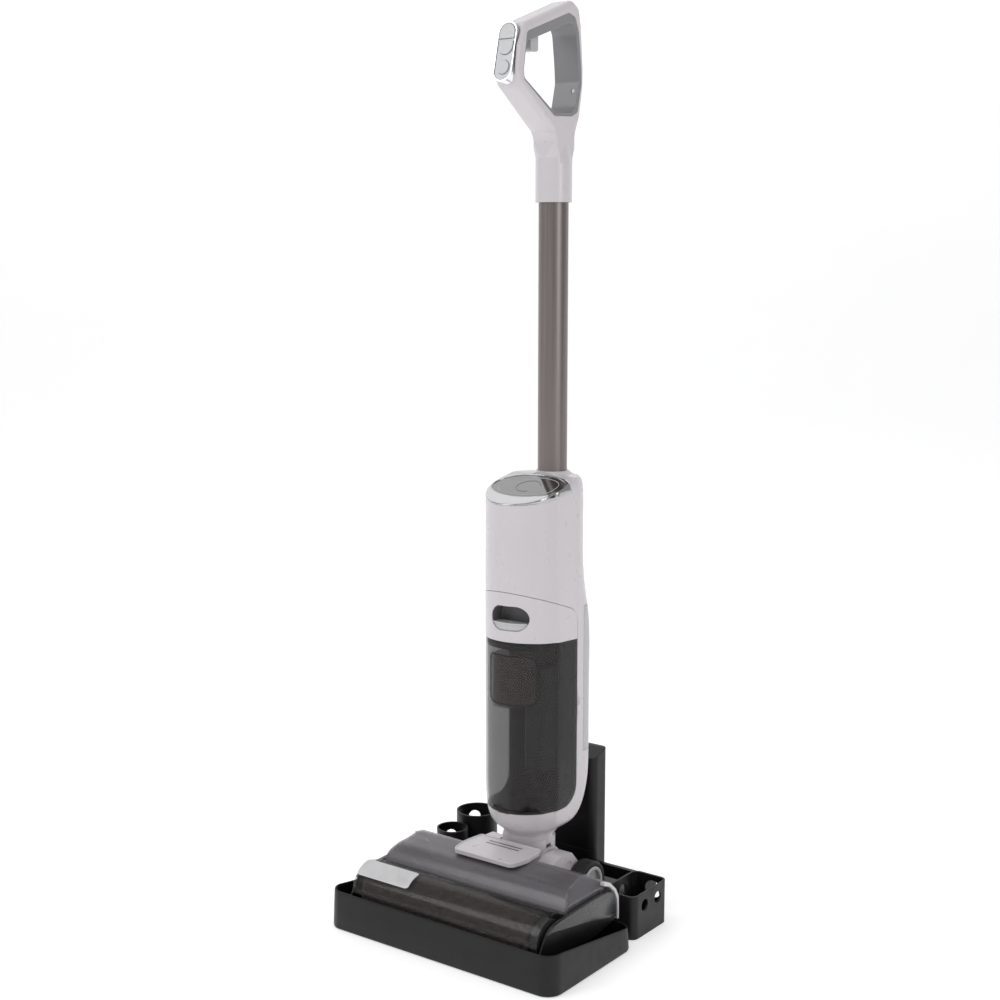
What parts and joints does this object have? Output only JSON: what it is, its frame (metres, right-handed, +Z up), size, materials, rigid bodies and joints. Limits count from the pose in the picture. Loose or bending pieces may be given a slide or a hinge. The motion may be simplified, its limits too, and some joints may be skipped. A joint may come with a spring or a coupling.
{
  "type": "wet dry floor scrubber",
  "caption": "Upright cordless wet-and-dry floor scrubber with roller head, clear dirty-water tank, tilted display and loop handle, standing in its charging tray with accessory holders.",
  "frame": {"origin": "on the dock's underside, on the centre plane, under the neck pivot", "axes": "+Z up along the handle tube, -Y towards the roller at the front, +X to the right seen from the front"},
  "size_m": [0.335, 0.303, 1.1067],
  "materials": {
    "dock_plastic": "satin black",
    "foot_rubber": "matte",
    "contact_metal": "plated",
    "dark_plastic": "satin",
    "white_plastic": "satin gloss",
    "clear_smoke": "clear, smoke tint",
    "tank_smoke": "clear, dark smoke tint",
    "tank_milky": "translucent",
    "inner_clear": "clear",
    "grey_plastic": "satin",
    "silver_plastic": "metallic lacquer",
    "button_plastic": "satin",
    "chrome": "polished",
    "display_glass": "black glass",
    "tyre_rubber": "matte",
    "steel": "satin",
    "motor_can": "plain",
    "battery_wrap": "shrink wrap",
    "board_green": "solder mask",
    "pump_plastic": "plain",
    "core_plastic": "plain",
    "microfibre": "short pile",
    "tube_metal": "anodised, satin"
  },
  "bodies": {
    "dock": {"dock_tray": "dock_plastic", "dock_base": "dock_plastic", "dock_feet": "foot_rubber", "dock_post": "dock_plastic", "charge_contacts": "contact_metal", "cup_holder_rear": "dock_plastic", "cup_holder_front": "dock_plastic", "accessory_basket": "dock_plastic"},
    "head": {"head_chassis": "dark_plastic", "head_housing": "white_plastic", "side_plate_left": "dark_plastic", "side_plate_right": "dark_plastic", "suction_duct": "dark_plastic", "squeegee": "foot_rubber", "spray_bar": "dark_plastic", "brush_motor": "motor_can", "pivot_pins": "steel", "wheel_axles": "steel", "drive_belt": "tyre_rubber"},
    "roller": {"roller_core": "core_plastic", "roller_sleeve": "microfibre", "roller_end_cap": "white_plastic"},
    "motor_shaft": {"motor_pulley": "steel"},
    "left_wheel": {"wheel_hub_left": "silver_plastic", "wheel_tyre_left": "tyre_rubber"},
    "right_wheel": {"wheel_hub_right": "silver_plastic", "wheel_tyre_right": "tyre_rubber"},
    "cover": {"roller_cover": "clear_smoke"},
    "latch": {"cover_latch": "white_plastic"},
    "neck": {"neck_yoke": "white_plastic", "neck_lock_tab": "dark_plastic"},
    "body": {"rear_shell": "white_plastic", "front_housing": "white_plastic", "display_ring": "chrome", "display_glass": "display_glass", "suction_motor": "motor_can", "motor_filter": "dark_plastic", "battery_pack": "battery_wrap", "control_board": "board_green", "water_pump": "pump_plastic", "main_tube": "tube_metal", "handle_shell": "white_plastic", "grip_lining": "grey_plastic", "handle_screws": "steel", "pod_rim": "chrome", "pod_panel": "silver_plastic", "neck_hose": "tyre_rubber"},
    "tank": {"dirty_tank": "tank_smoke", "tank_collar": "white_plastic", "tank_seal": "foot_rubber", "float_cage": "inner_clear", "tank_strainer": "dark_plastic"},
    "float": {"float_ball": "grey_plastic"},
    "release_bar": {"tank_release": "grey_plastic"},
    "clean_water": {"clean_tank": "tank_milky"},
    "filler_cap": {"clean_tank_cap": "foot_rubber"},
    "power_button": {"button_power": "button_plastic"},
    "mode_button": {"button_mode": "button_plastic"},
    "clean_button": {"button_clean": "button_plastic"},
    "trigger_tab": {"trigger": "grey_plastic"}
  },
  "joints": [
    {"name": "undock", "type": "slide", "parent": "dock", "child": "head", "axis": [0, -0.1736, 0.9848], "range_m": [0, 0.3]},
    {"name": "recline", "type": "hinge", "parent": "head", "child": "neck", "pos_m": [0, 0, 0.07], "axis": [-1, 0, 0], "range_deg": [0, 75]},
    {"name": "neck_swivel", "type": "hinge", "parent": "neck", "child": "body", "pos_m": [0, 0, 0.106], "axis": [0, 0, 1], "range_deg": [-30, 30]},
    {"name": "left_wheel_spin", "type": "hinge", "parent": "head", "child": "left_wheel", "pos_m": [-0.072, 0.021, 0.0455], "axis": [1, 0, 0], "continuous": true},
    {"name": "right_wheel_spin", "type": "hinge", "parent": "head", "child": "right_wheel", "pos_m": [0.072, 0.021, 0.0455], "axis": [1, 0, 0], "continuous": true},
    {"name": "roller_spin", "type": "hinge", "parent": "head", "child": "roller", "pos_m": [0, -0.147, 0.0465], "axis": [1, 0, 0], "continuous": true},
    {"name": "motor_spin", "type": "hinge", "parent": "head", "child": "motor_shaft", "pos_m": [-0.1, -0.072, 0.052], "axis": [1, 0, 0], "continuous": true},
    {"name": "cover_lift", "type": "slide", "parent": "head", "child": "cover", "axis": [0, -0.7071, 0.7071], "range_m": [0, 0.06]},
    {"name": "cover_latch_press", "type": "slide", "parent": "cover", "child": "latch", "axis": [0, 1, 0], "range_m": [0, 0.003], "stiffness_N_per_m": 400},
    {"name": "tank_tilt", "type": "hinge", "parent": "body", "child": "tank", "pos_m": [0, -0.0536, 0.14125], "axis": [1, 0, 0], "range_deg": [0, 30]},
    {"name": "tank_release_press", "type": "slide", "parent": "tank", "child": "release_bar", "axis": [0, 1, 0], "range_m": [0, 0.003], "stiffness_N_per_m": 500},
    {"name": "float_rise", "type": "slide", "parent": "tank", "child": "float", "axis": [0, 0, 1], "range_m": [0, 0.03]},
    {"name": "clean_tank_slide", "type": "slide", "parent": "body", "child": "clean_water", "axis": [0, 1, 0], "range_m": [0, 0.08]},
    {"name": "filler_cap_pull", "type": "slide", "parent": "clean_water", "child": "filler_cap", "axis": [0, 1, 0], "range_m": [0, 0.015]},
    {"name": "power_button_press", "type": "slide", "parent": "body", "child": "power_button", "axis": [0, 0.9744, -0.225], "range_m": [0, 0.0015], "stiffness_N_per_m": 500},
    {"name": "mode_button_press", "type": "slide", "parent": "body", "child": "mode_button", "axis": [0, 0.9744, -0.225], "range_m": [0, 0.0015], "stiffness_N_per_m": 500},
    {"name": "clean_button_press", "type": "slide", "parent": "body", "child": "clean_button", "axis": [0, 0.9744, -0.225], "range_m": [0, 0.0015], "stiffness_N_per_m": 500},
    {"name": "trigger_pull", "type": "slide", "parent": "body", "child": "trigger_tab", "axis": [0, 0, 1], "range_m": [0, 0.004], "stiffness_N_per_m": 400}
  ],
  "couplings": [
    {"joint": "recline", "follows": "undock", "rad_per_m": 4.3611},
    {"joint": "motor_spin", "follows": "roller_spin", "ratio": 1.5}
  ]
}
